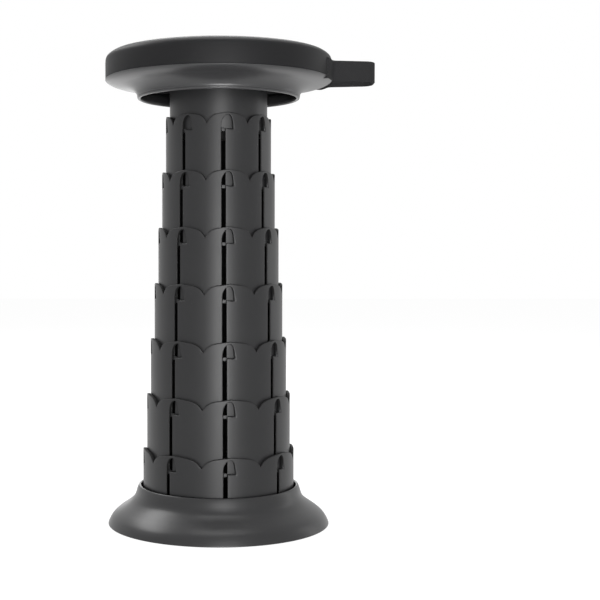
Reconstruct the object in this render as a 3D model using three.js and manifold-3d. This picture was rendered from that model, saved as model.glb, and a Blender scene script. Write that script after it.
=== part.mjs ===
// Collapsible telescopic stool, modelled extended, as it stands in use.
// Millimetres, +Z up. The origin is on the floor, on the common axis of the tubes.
// The front is -Y, and the carry strap is on +X.
// Seven scalloped tubes nest in each other and each slides in the next wider one. Eight lugs
// at a tube's foot ride in the long slots of the wider tube, up into the arched windows that
// end the slots. There a small lift and a twist set the lugs on the windows' ledges, which
// locks the tube.

import * as THREE from 'three';
import { mergeVertices } from 'three/addons/utils/BufferGeometryUtils.js';
import Module from 'manifold-3d';

const wasm = await Module();
wasm.setup();

const degree = Math.PI / 180;
const mergeDistance = 0.001;      // vertices closer than this are one

// Fits
const restGap = 0.3;              // between pieces that touch in the real stool
const overrun = 2;                // how far every cutter runs past what it cuts

// Tubes
const scallopedTubeCount = 7;
const petalCount = 8;
const topTubeRadius = 46.6;       // outside of the narrowest tube
const tubeWall = 3;
const runningGap = 0.7;           // from one tube's outside to the next tube's inside
const slideClearance = 0.45;      // from a lug's tip to the bridge of the next tube
const travel = 52.6;              // a tube's stroke in the next one
const tubeOverlap = 17.4;         // how much of a drawn-out tube stays in the next one
const lift = 2.8;                 // raise that frees the lugs for the twist
const notchDepth = 10;            // V notch between two petals
const crestBand = 2;              // material over a window's arch
const slotWidth = 3.5;
const windowWidth = 11;
const lugHeight = 3.2;
const lugEngagement = 1.2;        // how deep a lug reaches into the next tube's wall
const slotTurn = 5;               // degrees from the front to the front slot
const crestTurn = 5;              // degrees from a slot to the middle of its petal
const petalColumnShares = [-1, -0.8, -0.58, -0.34, 0.34, 0.58, 0.8];
const plainColumnShares = [-1, -0.5, 0, 0.5];
const notchSharpness = 3.2;       // exponent of the petals' edge
const archSteps = 4;

// Closed top of the narrowest tube
const webThickness = 4;
const webSides = 24;
const topBossRadius = 4.5;
const topBossHeight = 9;

// Screws
const screwShankRadius = 1.5;
const screwHeadRadius = 3.6;
const screwHeadHeight = 2;
const screwSides = 6;
const seatScrewLength = 14;
const baseScrewLength = 12;

// Seat cover
const seatRadius = 108.8;
const seatPlateThickness = 4;
const seatEdgeRadius = 2.2;
const seatSkirtWall = 2.5;
const seatSides = 48;
const crestClearance = 3.8;       // from the folded tubes' crests to the seat plate
const hubDepth = 3;               // hub under the plate, inside the top tube
const ribCount = 8;
const ribThickness = 1.6;
const ribDepth = 9;
const ribClearance = 7.5;         // from the folded tubes to the ribs

// Seat medallion and plugs
const medallionLobeRadius = 42.3;
const medallionNotchRadius = 38.6;
const medallionThickness = 2;
const medallionSunk = 0.2;
const medallionTurn = 13.9;       // degrees from the strap to the middle of a lobe
const lobeCount = 8;
const lobeSteps = 5;
const lobeFullness = 0.55;        // exponent of a lobe's edge
const plugCount = 4;
const plugCircle = 22.9;
const plugTurn = 30;              // degrees from the strap to the first plug
const plugRadius = 9.6;
const plugMargin = 1.3;           // from a plug to the edge of its recess
const plugThickness = 1.2;
const plugStemMargin = 0.8;       // from a screw's head to the side of a plug's stem
const plugStemLength = 0.9;
const plugSides = 12;

// Seat tray
const trayDepth = 18;             // from the skirt to the lip
const trayRimProud = 0.2;         // beyond the skirt
const trayRimHeight = 1.4;
const trayClearance = 2.6;        // from the folded tubes to the lip
const trayLipWall = 3;
const trayWall = 2.2;
const spigotHeight = 6;
const spigotWall = 2.2;
const traySides = 36;
// share of the way from the collar to the rim, share of the depth below the rim
const trayShares = [[0.9, 0.28], [0.68, 0.45], [0.32, 0.65], [0.03, 0.8]];

// Carry strap
const strapWidth = 25;
const strapThickness = 1.6;
const strapLoopLength = 43.2;     // from the seat to the loop's outer face
const strapHalfSpread = 16.7;     // from the loop's middle to each leg, at the corner
const strapRootHalfSpread = 20.5; // the same where the leg meets the rim
const strapCornerRadius = 11;
const strapRootRadius = 6;
const strapEntryRadius = 2;
const strapBendSteps = 3;
const strapRimSteps = 2;
const strapEyeSteps = 6;
const strapEyeTurn = 200;         // degrees that an end wraps round its pin
const strapSlotAngle = 21.5;
const strapSlotWidth = 4;
const strapSlotReach = 7;         // from the skirt's inside to the slot's inner end
const strapTopGap = 0.6;          // from the strap to the seat plate
const strapOverhang = 4.6;        // how far the strap reaches below the skirt
const strapPinRadius = 2;
const strapPinInset = 14.3;       // from the seat's outside to the circle of the pins
const strapPinSides = 8;

// Base shell
const baseRadius = 106.3;
const baseHeight = 38;
const baseFloorGap = 0.8;
const baseLipClearance = 2;       // from the widest tube to the lip
const baseLipWall = 2.7;
const baseWall = 2.2;
const sleeveWall = 1.8;
const shoulderHeight = 2;         // inward shoulder that holds the widest tube down
const baseSides = 36;
const baseBossRadius = 4;
const baseScrewCount = 4;
const baseScrewTurn = 45;         // degrees from the strap's side to the first screw
// share of the way from the lip to the foot, share of the height
const flareShares = [
  [0.05, 0.88], [0.12, 0.76], [0.22, 0.67], [0.42, 0.585], [0.66, 0.46], [0.86, 0.3], [1, 0.06],
];
const flareInsideShares = [[0.9, 0.25], [0.5, 0.54], [0.12, 0.76]];

// Base plate and pads
const footHeight = 1.2;           // from the floor to the plate
const plateThickness = 2.5;
const plateEdgeGap = 1;
const plateSides = 36;
const locatingRingWall = 2.2;
const locatingRingHeight = 3;
const padCount = 6;
const padMargin = 8.1;            // from a pad to the plate's edge
const padRadius = 7;
const padSides = 10;
const centrePadRadius = 20;
const centrePadSides = 16;

// Radii and heights that follow
const tubeHeight = travel + tubeOverlap;
const tubePitch = tubeWall + runningGap;
const lugReach = runningGap + lugEngagement;
const bridgeThickness = tubeWall - lugEngagement - slideClearance;
const lugWidth = slotWidth - 2 * restGap;
const ledgeHeight = travel + lift - restGap;
const topTubeInside = topTubeRadius - tubeWall;
const widestTubeRadius = topTubeRadius + scallopedTubeCount * tubePitch;
const petalTurn = 360 / petalCount;
const frontSlotAngle = -90 + slotTurn;
const screwHoleRadius = screwShankRadius + restGap;
const plugHoleRadius = plugRadius + plugMargin;
const plugStemRadius = screwHeadRadius + plugStemMargin;
const seatSkirtHeight = seatPlateThickness + strapTopGap + strapWidth - strapOverhang;
const trayRimRadius = seatRadius + trayRimProud;
const trayCollarRadius = widestTubeRadius + trayClearance + trayLipWall;
const ribInnerRadius = widestTubeRadius + ribClearance;
const strapReach = seatRadius + strapLoopLength;
const strapPinCircle = seatRadius - strapPinInset;
const baseLipRadius = widestTubeRadius + baseLipClearance + baseLipWall;
const ringInside = widestTubeRadius + restGap;
const ringOutside = ringInside + locatingRingWall;
const plateRadius = baseRadius - baseWall - plateEdgeGap;
const baseScrewCircle = (ringOutside + plateRadius) / 2;
const padCircle = plateRadius - padMargin - padRadius;
const floorLevel = footHeight + plateThickness;
const lowestTubeBottom = floorLevel + restGap;
const topTubeBottom = lowestTubeBottom + scallopedTubeCount * travel;
const seatPlateLevel = topTubeBottom + tubeHeight + crestClearance;

// Heights in the seat, measured up from the underside of its plate
const seatTop = seatPlateThickness;
const skirtBottom = seatTop - seatSkirtHeight;
const skirtInside = seatRadius - seatSkirtWall;
const medallionFloor = seatTop - medallionSunk - medallionThickness - restGap;
const medallionBottom = medallionFloor + restGap;
const plugStemBottom = medallionBottom - plugStemLength;
const seatScrewSeat = plugStemBottom - restGap - screwHeadHeight;
const webTop = -hubDepth - restGap;
const strapTop = -strapTopGap;
const strapLine = trayRimRadius + restGap + strapThickness / 2;

const finishes = {
  seat: { color: 0x525254, roughness: 0.55, metalness: 0 },
  medallion: { color: 0x4c4c4e, roughness: 0.5, metalness: 0 },
  plug: { color: 0x444446, roughness: 0.5, metalness: 0 },
  tray: { color: 0x6c6d70, roughness: 0.35, metalness: 0 },
  tube: { color: 0x58595c, roughness: 0.4, metalness: 0 },
  base: { color: 0x5c5d60, roughness: 0.33, metalness: 0 },
  plate: { color: 0x3a3a3c, roughness: 0.6, metalness: 0 },
  strap: { color: 0x2a2a2c, roughness: 0.9, metalness: 0 },
  rubber: { color: 0x1c1c1d, roughness: 0.9, metalness: 0 },
  steel: { color: 0x9a9b9e, roughness: 0.35, metalness: 1 },
};

// Merges shared vertices, drops empty triangles and turns the faces outwards.
function toSolid(geometry) {
  const bare = geometry.clone();
  bare.deleteAttribute('normal');
  bare.deleteAttribute('uv');
  const merged = mergeVertices(bare, mergeDistance);
  const position = merged.getAttribute('position');
  const source = merged.getIndex().array;
  const corners = [];
  const [a, b, c] = [new THREE.Vector3(), new THREE.Vector3(), new THREE.Vector3()];
  let volume = 0;
  for (let i = 0; i < source.length; i += 3) {
    const [p, q, r] = [source[i], source[i + 1], source[i + 2]];
    if (p !== q && q !== r && r !== p) {
      corners.push(p, q, r);
      a.fromBufferAttribute(position, p);
      b.fromBufferAttribute(position, q);
      c.fromBufferAttribute(position, r);
      volume += a.dot(b.cross(c));
    }
  }
  if (volume < 0) corners.reverse();
  const triVerts = new Uint32Array(corners);
  return new wasm.Manifold(new wasm.Mesh({ numProp: 3, vertProperties: position.array, triVerts }));
}

function toGeometry(solid) {
  const { vertProperties, triVerts } = solid.getMesh();
  const geometry = new THREE.BufferGeometry();
  geometry.setAttribute('position', new THREE.BufferAttribute(vertProperties, 3));
  geometry.setIndex(new THREE.BufferAttribute(triVerts, 1));
  const flat = geometry.toNonIndexed();
  flat.computeVertexNormals();
  return flat;
}

function joined(solids) {
  return solids.reduce((sum, next) => sum.add(next));
}

// A closed outline of [radius, height] points turned round the Z axis.
function revolved(outline, sides) {
  const points = [...outline, outline[0]].map(([radius, height]) => new THREE.Vector2(radius, height));
  return toSolid(new THREE.LatheGeometry(points, sides).rotateX(Math.PI / 2));
}

function disc(radius, bottom, top, sides) {
  return revolved([[0, bottom], [radius, bottom], [radius, top], [0, top]], sides);
}

// A box centred on the Z axis, by its sizes along X and Y and its two levels.
function block(lengthX, lengthY, bottom, top) {
  const box = new THREE.BoxGeometry(lengthX, lengthY, top - bottom);
  return toSolid(box.translate(0, 0, (top + bottom) / 2));
}

// An outline in plan, from one level to another.
function upright(shape, bottom, top) {
  const settings = { depth: top - bottom, bevelEnabled: false };
  return toSolid(new THREE.ExtrudeGeometry(shape, settings).translate(0, 0, bottom));
}

function anglesAround(count, first) {
  return Array.from({ length: count }, (_, i) => first + i * 360 / count);
}

// Copies of a solid at angles, each moved out from the Z axis first.
function copies(solid, radius, angles) {
  return joined(angles.map((angle) => solid.translate([radius, 0, 0]).rotate([0, 0, angle])));
}

function inPlan(radius, angle) {
  return new THREE.Vector2(radius * Math.cos(angle * degree), radius * Math.sin(angle * degree));
}

const slotAngles = anglesAround(petalCount, frontSlotAngle);
const plugAngles = anglesAround(plugCount, plugTurn);
const strapSlotAngles = [strapSlotAngle, -strapSlotAngle];

// Columns round a tube: an angle and the share of the way from a petal's middle to its notch.
function columnsOf(shares) {
  return slotAngles.flatMap((slot) =>
    shares.map((share) => [slot + crestTurn + share * petalTurn / 2, share]));
}

// A tube's wall. Each ring gives a radius and, for each column, a height.
function wallOf(rings, columns) {
  const vertices = columns.flatMap(([angle, share]) =>
    rings.flatMap(([radius, heightAt]) => [...inPlan(radius, angle), heightAt(share)]));
  const corners = [];
  columns.forEach((_, column) => {
    const start = column * rings.length;
    const nextStart = (column + 1) % columns.length * rings.length;
    rings.forEach((__, ring) => {
      const above = (ring + 1) % rings.length;
      corners.push(start + ring, nextStart + ring, nextStart + above);
      corners.push(start + ring, nextStart + above, start + above);
    });
  });
  const geometry = new THREE.BufferGeometry();
  geometry.setAttribute('position', new THREE.Float32BufferAttribute(vertices, 3));
  geometry.setIndex(corners);
  return toSolid(geometry);
}

const level = (height) => () => height;

function petalTop(share) {
  return tubeHeight - notchDepth * Math.abs(share) ** notchSharpness;
}

// The long slot and its arched window, seen from outside, above the slot's foot.
function windowShape() {
  const left = -slotWidth / 2;
  const right = left + windowWidth;
  const radius = windowWidth / 2;
  const archMiddle = tubeHeight - crestBand - radius;
  const shape = new THREE.Shape();
  shape.moveTo(left, lugHeight);
  shape.lineTo(slotWidth / 2, lugHeight);
  shape.lineTo(slotWidth / 2, ledgeHeight);
  shape.lineTo(right, ledgeHeight);
  shape.lineTo(right, archMiddle);
  shape.absarc(left + radius, archMiddle, radius, 0, Math.PI, false);
  return shape;
}

// Windows for every slot, cut along the radius from one radius to another.
function windowCutters(from, to) {
  const settings = { depth: to - from, bevelEnabled: false, curveSegments: archSteps };
  const flat = new THREE.ExtrudeGeometry(windowShape(), settings);
  const facingX = new THREE.Matrix4().makeBasis(
    new THREE.Vector3(0, 1, 0), new THREE.Vector3(0, 0, 1), new THREE.Vector3(1, 0, 0));
  return copies(toSolid(flat.applyMatrix4(facingX)), from, slotAngles);
}

function lugs(outside) {
  const root = outside - bridgeThickness / 2;
  const length = outside + lugReach - root;
  return copies(block(length, lugWidth, 0, lugHeight), root + length / 2, slotAngles);
}

// A slot's foot is cut from inside only, so a thin bridge closes it and carries the lug.
function footRecesses(from, outside) {
  const depth = outside - bridgeThickness - from;
  const recess = block(depth, slotWidth, -overrun, lugHeight + overrun);
  return copies(recess, from + depth / 2, slotAngles);
}

function scallopedTube(outside) {
  const inside = outside - tubeWall;
  const wall = wallOf([
    [outside, level(0)],
    [outside, petalTop],
    [inside, petalTop],
    [inside, level(0)],
  ], columnsOf(petalColumnShares));
  const from = inside - overrun;
  return wall
    .subtract(windowCutters(from, outside + overrun))
    .subtract(footRecesses(from, outside))
    .add(lugs(outside));
}

// The narrowest tube is plain, and a web with four screw bosses closes it under the hub.
// Its heights are the seat's.
function topTube() {
  const bottom = topTubeBottom - seatPlateLevel;
  const wall = wallOf([
    [topTubeRadius, level(0)],
    [topTubeRadius, level(-restGap - bottom)],
    [topTubeInside, level(-restGap - bottom)],
    [topTubeInside, level(0)],
  ], columnsOf(plainColumnShares));
  const webBottom = webTop - webThickness;
  const web = disc(topTubeInside + tubeWall / 2, webBottom, webTop, webSides);
  const boss = disc(topBossRadius, webBottom - topBossHeight, webTop - restGap, screwSides);
  const hole = disc(screwHoleRadius, webBottom - topBossHeight - overrun, webTop + overrun, screwSides);
  return wall.add(lugs(topTubeRadius))
    .translate([0, 0, bottom])
    .add(web)
    .add(copies(boss, plugCircle, plugAngles))
    .subtract(copies(hole, plugCircle, plugAngles));
}

// The lobed outline of the medallion, grown by a margin.
function lobedShape(margin) {
  const reach = medallionLobeRadius - medallionNotchRadius;
  const lobeTurn = 360 / lobeCount;
  const notches = anglesAround(lobeCount, medallionTurn - lobeTurn / 2);
  return new THREE.Shape(notches.flatMap((notch) => Array.from({ length: lobeSteps }, (_, i) => {
    const bulge = Math.sin(Math.PI * i / lobeSteps) ** lobeFullness;
    return inPlan(medallionNotchRadius + reach * bulge + margin, notch + lobeTurn * i / lobeSteps);
  })));
}

function seatMedallion() {
  const hole = disc(plugHoleRadius, medallionFloor - overrun, seatTop + overrun, plugSides);
  return upright(lobedShape(0), medallionBottom, medallionBottom + medallionThickness)
    .subtract(copies(hole, plugCircle, plugAngles));
}

function seatPlug() {
  return revolved([
    [0, -plugStemLength], [plugStemRadius, -plugStemLength], [plugStemRadius, 0],
    [plugRadius, 0], [plugRadius, plugThickness], [0, plugThickness],
  ], plugSides);
}

// Pan-head screw with its head's seat at zero and its shank below.
function screw(length) {
  return revolved([
    [0, -length], [screwShankRadius, -length], [screwShankRadius, 0],
    [screwHeadRadius, 0], [screwHeadRadius, screwHeadHeight], [0, screwHeadHeight],
  ], screwSides);
}

// Openings through the skirt and the tray's rim, where the strap's ends go in.
function strapSlots() {
  const top = strapTop + restGap;
  const bottom = strapTop - strapWidth - restGap;
  const length = seatRadius + overrun - (skirtInside - strapSlotReach);
  const middle = seatRadius + overrun - length / 2;
  return copies(block(length, strapSlotWidth, bottom, top), middle, strapSlotAngles);
}

function seatCover() {
  const edge = seatRadius - seatEdgeRadius;
  const bend = seatEdgeRadius * Math.SQRT1_2;
  const shell = revolved([
    [0, seatTop], [edge, seatTop], [edge + bend, seatTop - seatEdgeRadius + bend],
    [seatRadius, seatTop - seatEdgeRadius], [seatRadius, skirtBottom], [skirtInside, skirtBottom],
    [skirtInside, 0], [0, 0],
  ], seatSides);
  const hub = disc(topTubeInside - slideClearance, -hubDepth, restGap, webSides);
  const ribLength = skirtInside - spigotWall - 2 * restGap - ribInnerRadius;
  const rib = block(ribLength, ribThickness, -ribDepth, restGap);
  const recess = upright(lobedShape(restGap), medallionFloor, seatTop + overrun);
  const headPocket = disc(plugStemRadius + restGap, seatScrewSeat - restGap, seatTop, plugSides);
  const screwHole = disc(screwHoleRadius, -hubDepth - overrun, seatTop, screwSides);
  return shell.add(hub)
    .add(copies(rib, ribInnerRadius + ribLength / 2, anglesAround(ribCount, 0)))
    .subtract(recess)
    .subtract(copies(headPocket, plugCircle, plugAngles))
    .subtract(copies(screwHole, plugCircle, plugAngles))
    .subtract(strapSlots());
}

function seatTray() {
  const rimTop = skirtBottom - restGap;
  const lipBottom = skirtBottom - trayDepth;
  const spread = trayRimRadius - trayCollarRadius;
  const outer = trayShares.map(([out, down]) => [trayCollarRadius + spread * out, rimTop - trayDepth * down]);
  const inner = outer.map(([radius, height]) => [radius - trayWall, height + trayWall]).reverse();
  const rounding = trayLipWall / 3;
  const opening = trayCollarRadius - trayLipWall;
  const spigotOutside = skirtInside - slideClearance;
  const spigotInside = spigotOutside - spigotWall;
  const wall = revolved([
    [trayRimRadius, rimTop], [trayRimRadius, rimTop - trayRimHeight], ...outer,
    [trayCollarRadius, lipBottom + rounding], [trayCollarRadius - rounding, lipBottom],
    [opening, lipBottom], ...inner,
    [spigotInside, rimTop + spigotHeight],
    [spigotOutside, rimTop + spigotHeight], [spigotOutside, rimTop],
  ], traySides);
  return wall.subtract(strapSlots());
}

// Points on an arc in plan, from one angle to another.
function arcPoints(middle, radius, from, to, steps) {
  return Array.from({ length: steps + 1 }, (_, i) =>
    inPlan(radius, from + (to - from) * i / steps).add(middle));
}

// Where the pin stands that the strap's end wraps round, on the +Y side.
function strapPinPlace() {
  const eyeRadius = strapPinRadius + restGap + strapThickness / 2;
  const aside = inPlan(eyeRadius, strapSlotAngle - 90);
  return inPlan(strapPinCircle, strapSlotAngle).add(aside);
}

// The strap's middle line on the +Y side, from the loop's outer end to the pin. It runs back
// to the seat, lies along the rim, goes in through its slot and wraps round the pin.
function strapHalfLine() {
  const outerLine = strapReach - strapThickness / 2;
  const corner = new THREE.Vector2(outerLine - strapCornerRadius, strapHalfSpread - strapCornerRadius);
  const rootY = strapRootHalfSpread + strapRootRadius;
  const rootX = Math.sqrt((strapLine + strapRootRadius) ** 2 - rootY ** 2);
  const root = new THREE.Vector2(rootX, rootY);
  const rootAngle = root.angle() / degree;
  const entryCircle = strapLine - strapEntryRadius;
  const entryAngle = strapSlotAngle - Math.asin(strapEntryRadius / entryCircle) / degree;
  const entry = inPlan(entryCircle, entryAngle);
  const eyeRadius = strapPinRadius + restGap + strapThickness / 2;
  const eyeStart = strapSlotAngle + 90;
  return [
    ...arcPoints(corner, strapCornerRadius, 0, 90, strapBendSteps),
    ...arcPoints(root, strapRootRadius, 270, 180 + rootAngle, strapBendSteps),
    ...arcPoints(new THREE.Vector2(0, 0), strapLine, rootAngle, entryAngle, strapRimSteps).slice(1, -1),
    ...arcPoints(entry, strapEntryRadius, entryAngle, strapSlotAngle + 90, strapBendSteps),
    ...arcPoints(strapPinPlace(), eyeRadius, eyeStart, eyeStart + strapEyeTurn, strapEyeSteps),
  ];
}

// The side of a line in plan, half a thickness away, with mitred corners.
function besideLine(line, distance) {
  return line.map((point, i) => {
    const before = line[Math.max(i - 1, 0)];
    const after = line[Math.min(i + 1, line.length - 1)];
    const ahead = after.clone().sub(point).normalize();
    const behind = point.clone().sub(before).normalize();
    const along = ahead.clone().add(behind).normalize();
    const straight = ahead.length() > 0 ? ahead : behind;
    const mitre = distance / along.dot(straight);
    return new THREE.Vector2(point.x - along.y * mitre, point.y + along.x * mitre);
  });
}

function carryStrap() {
  const half = strapHalfLine();
  const mirrored = half.map((point) => new THREE.Vector2(point.x, -point.y)).reverse();
  const line = [...mirrored, ...half];
  const outline = [
    ...besideLine(line, strapThickness / 2),
    ...besideLine(line, -strapThickness / 2).reverse(),
  ];
  return upright(new THREE.Shape(outline), strapTop - strapWidth, strapTop);
}

// Outer face of the base from its lip down to its foot, and the inner face back up.
function flareFace(shares) {
  const spread = baseRadius - baseLipRadius;
  return shares.map(([out, up]) => [baseLipRadius + spread * out, baseHeight * up]);
}

function baseShell() {
  const rounding = baseLipWall / 3;
  const opening = baseLipRadius - baseLipWall;
  const sleeveOutside = opening + sleeveWall;
  const sleeveBottom = lowestTubeBottom + lugHeight + restGap;
  const shoulderRadius = widestTubeRadius + restGap;
  const outer = flareFace(flareShares);
  const inner = flareFace(flareInsideShares)
    .map(([radius, height]) => [radius - baseWall, height - baseWall / 2]);
  const footInside = baseRadius - baseWall;
  const shell = revolved([
    [opening, baseHeight - rounding], [opening + rounding, baseHeight],
    [baseLipRadius - rounding, baseHeight], [baseLipRadius, baseHeight - rounding], ...outer,
    [baseRadius - baseFloorGap, baseFloorGap], [footInside, baseFloorGap],
    [footInside, floorLevel + restGap], ...inner,
    [sleeveOutside, inner[inner.length - 1][1] + baseWall], [sleeveOutside, sleeveBottom],
    [shoulderRadius, sleeveBottom], [shoulderRadius, sleeveBottom + shoulderHeight],
    [opening, sleeveBottom + shoulderHeight],
  ], baseSides);
  const underFace = revolved([
    [0, baseFloorGap], [baseRadius - baseFloorGap, baseFloorGap], ...[...outer].reverse(), [0, outer[0][1]],
  ], baseSides);
  const angles = anglesAround(baseScrewCount, baseScrewTurn);
  const boss = disc(baseBossRadius, lowestTubeBottom, baseHeight, screwSides);
  const bosses = copies(boss, baseScrewCircle, angles).intersect(underFace);
  const hole = disc(screwHoleRadius, 0, floorLevel + baseScrewLength, screwSides);
  return shell.add(bosses).subtract(copies(hole, baseScrewCircle, angles));
}

function basePlate() {
  const ringTop = floorLevel + locatingRingHeight;
  const plate = disc(plateRadius, footHeight, floorLevel, plateSides);
  const ring = revolved([
    [ringInside, floorLevel - restGap], [ringOutside, floorLevel - restGap],
    [ringOutside, ringTop], [ringInside, ringTop],
  ], plateSides);
  const lugNotch = block(ringOutside - ringInside + 2 * overrun, slotWidth, floorLevel, ringTop + overrun);
  const angles = anglesAround(baseScrewCount, baseScrewTurn);
  const pocket = disc(screwHeadRadius + restGap, 0, baseScrewSeat() + restGap, screwSides);
  const hole = disc(screwHoleRadius, 0, floorLevel + overrun, screwSides);
  return plate.add(ring.subtract(copies(lugNotch, (ringInside + ringOutside) / 2, slotAngles)))
    .subtract(copies(pocket, baseScrewCircle, angles))
    .subtract(copies(hole, baseScrewCircle, angles));
}

function baseScrewSeat() {
  return footHeight + plateThickness / 2;
}

function pad(radius, sides) {
  return disc(radius, 0, footHeight - restGap, sides);
}

function mesh(name, solid, finish, place = [0, 0, 0]) {
  const piece = new THREE.Mesh(toGeometry(solid), new THREE.MeshStandardMaterial(finishes[finish]));
  piece.name = name;
  piece.position.set(...place);
  return piece;
}

// The same solid at several angles round the axis, named with a number from 1.
function meshesAround(name, solid, finish, radius, height, angles) {
  return angles.map((angle, i) => {
    const piece = mesh(`${name}_${i + 1}`, solid, finish, [...inPlan(radius, angle), height]);
    piece.rotation.z = angle * degree;
    return piece;
  });
}

function seat() {
  const group = new THREE.Group();
  group.position.z = seatPlateLevel;
  group.add(
    mesh('seat_cover', seatCover(), 'seat'),
    mesh('seat_medallion', seatMedallion(), 'medallion'),
    ...meshesAround('seat_plug', seatPlug(), 'plug', plugCircle, medallionBottom, plugAngles),
    ...meshesAround('seat_screw', screw(seatScrewLength), 'steel', plugCircle, seatScrewSeat, plugAngles),
    mesh('seat_tray', seatTray(), 'tray'),
    mesh('top_tube', topTube(), 'tube'),
    mesh('carry_strap', carryStrap(), 'strap'),
  );
  const pin = disc(strapPinRadius, strapTop - strapWidth, strapTop, strapPinSides);
  [1, -1].forEach((side, i) => {
    const { x, y } = strapPinPlace();
    group.add(mesh(`strap_pin_${i + 1}`, pin, 'steel', [x, side * y, 0]));
  });
  return group;
}

function tubes() {
  const group = new THREE.Group();
  for (let i = 1; i <= scallopedTubeCount; i += 1) {
    const bottom = lowestTubeBottom + (scallopedTubeCount - i) * travel;
    const tube = scallopedTube(topTubeRadius + i * tubePitch);
    group.add(mesh(`scalloped_tube_${i}`, tube, 'tube', [0, 0, bottom]));
  }
  return group;
}

function base() {
  const group = new THREE.Group();
  const screwAngles = anglesAround(baseScrewCount, baseScrewTurn);
  const padAngles = anglesAround(padCount, 0);
  const upturned = screw(baseScrewLength).rotate([180, 0, 0]);
  group.add(
    mesh('base_shell', baseShell(), 'base'),
    mesh('base_plate', basePlate(), 'plate'),
    ...meshesAround('base_screw', upturned, 'steel', baseScrewCircle, baseScrewSeat(), screwAngles),
    ...meshesAround('foot_pad', pad(padRadius, padSides), 'rubber', padCircle, 0, padAngles),
    mesh('centre_pad', pad(centrePadRadius, centrePadSides), 'rubber'),
  );
  return group;
}

const stool = new THREE.Group();
stool.add(seat(), tubes(), base());

export default stool;
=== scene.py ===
"""Collapsible telescopic stool: the finished surfaces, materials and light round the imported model.

Sizes are real ones in millimetres. Each surface is a grid of points: rings round the common Z
axis, a section carried along a path, or, for a scalloped tube, a grid that runs from each
window's edge out to the petal's edge. A turned piece has its profile as [radius, height], with a
third value for the round of a corner.
"""

import math

import bmesh
import bpy
import numpy as np
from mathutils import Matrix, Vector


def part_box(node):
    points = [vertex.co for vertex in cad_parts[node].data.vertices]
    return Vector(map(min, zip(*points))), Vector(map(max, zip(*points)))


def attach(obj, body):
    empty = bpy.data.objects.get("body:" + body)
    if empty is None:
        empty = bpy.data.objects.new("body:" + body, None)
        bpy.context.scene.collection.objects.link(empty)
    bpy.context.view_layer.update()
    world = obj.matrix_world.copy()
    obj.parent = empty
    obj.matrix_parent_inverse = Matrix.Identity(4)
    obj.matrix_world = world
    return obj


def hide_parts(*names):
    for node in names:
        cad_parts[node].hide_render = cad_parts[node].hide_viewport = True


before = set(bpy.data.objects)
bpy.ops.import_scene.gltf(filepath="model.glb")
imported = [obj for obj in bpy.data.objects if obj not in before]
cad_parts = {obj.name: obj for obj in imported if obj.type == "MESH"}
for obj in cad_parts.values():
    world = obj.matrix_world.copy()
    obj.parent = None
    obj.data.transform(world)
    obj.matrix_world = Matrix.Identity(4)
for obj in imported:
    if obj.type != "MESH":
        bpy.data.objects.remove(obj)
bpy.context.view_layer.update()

MM = 0.001
TURN = 2 * math.pi
MERGE = 0.002                  # points closer than this are one
SIDES = 240                    # steps round the axis
CREASE = math.radians(32)      # sharper edges than this stay sharp

# How many there are
TUBES = 7                      # scalloped ones: the last is fixed in the base
PETALS = 8
SCREWS = 4
FOOT_PADS = 6
RIBS = 8
LOBES = 8

# Tubes
WALL = 3.0
RUNNING_GAP = 0.7
PLAIN_TUBE_RADIUS = 46.6
TRAVEL = 52.6
OVERLAP = 17.4                 # what neighbours still share when the stool is extended
TUBE_HEIGHT = TRAVEL + OVERLAP
EDGE_ROUND = 0.45              # moulded round on the edges
LUG_HEIGHT = 3.2
LUG_WIDTH = 3.3
LUG_ENGAGEMENT = 1.2
LUG_ROOT = 1.0                 # how far a lug reaches into its tube's wall
BRIDGE = 1.35                  # thin wall that closes a slot's foot
SLOT_WIDTH = 3.9
SLOT_TURN = math.radians(5)    # from the front to the front slot
SLOT_WALL = 1.2                # the wall thins from inside to this beside a slot
SLOT_TAPER = 3.5               # over this width
WINDOW_WIDTH = 11.0
WINDOW_ROUND = 1.6             # softer round along the window's ledge and lower right side
LEDGE = 55.1                   # height of the window's ledge
ARCH_START = 1.5               # height above the ledge where the arch starts
ARCH_LEAN = 1.1                # how far the arch's top leans to the right
ARCH_FULLNESS = 0.85           # exponent of the arch's rise: lower is fuller
CREST_BAND = 2.0               # between the arch and the petal's crest
CREST_TURN = math.radians(5)   # from a slot to the middle of its petal
CREST_FALL = 2.8               # straight fall from a petal's peak to its sides
NOTCH_DEPTH = 10.0
NOTCH_SHARPNESS = 6.0          # exponent of the rest of the notch's depth

# Columns of a petal's grid, anticlockwise from the left of the slot's foot
FOOT_STEPS = 4                 # across the foot
FAN_STEPS = 8                  # from the foot to the petal's side
FAN_HEIGHT = 9.0               # height above the lugs where the columns are level again
SIDE_STEPS = (22, 6, 5)        # up the slot, along the ledge and up the window's right side
SIDE_BREAKS = (0.72, 0.8)      # heights of those steps' ends on the petal's side, as shares of the tube
ARCH_STEPS = 40                # over the arch
FIRST_SIDE = FOOT_STEPS + FAN_STEPS
FIRST_TOP = FIRST_SIDE + sum(SIDE_STEPS)
LAST_TOP = FIRST_TOP + ARCH_STEPS
LAST_SIDE = LAST_TOP + sum(SIDE_STEPS)

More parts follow.
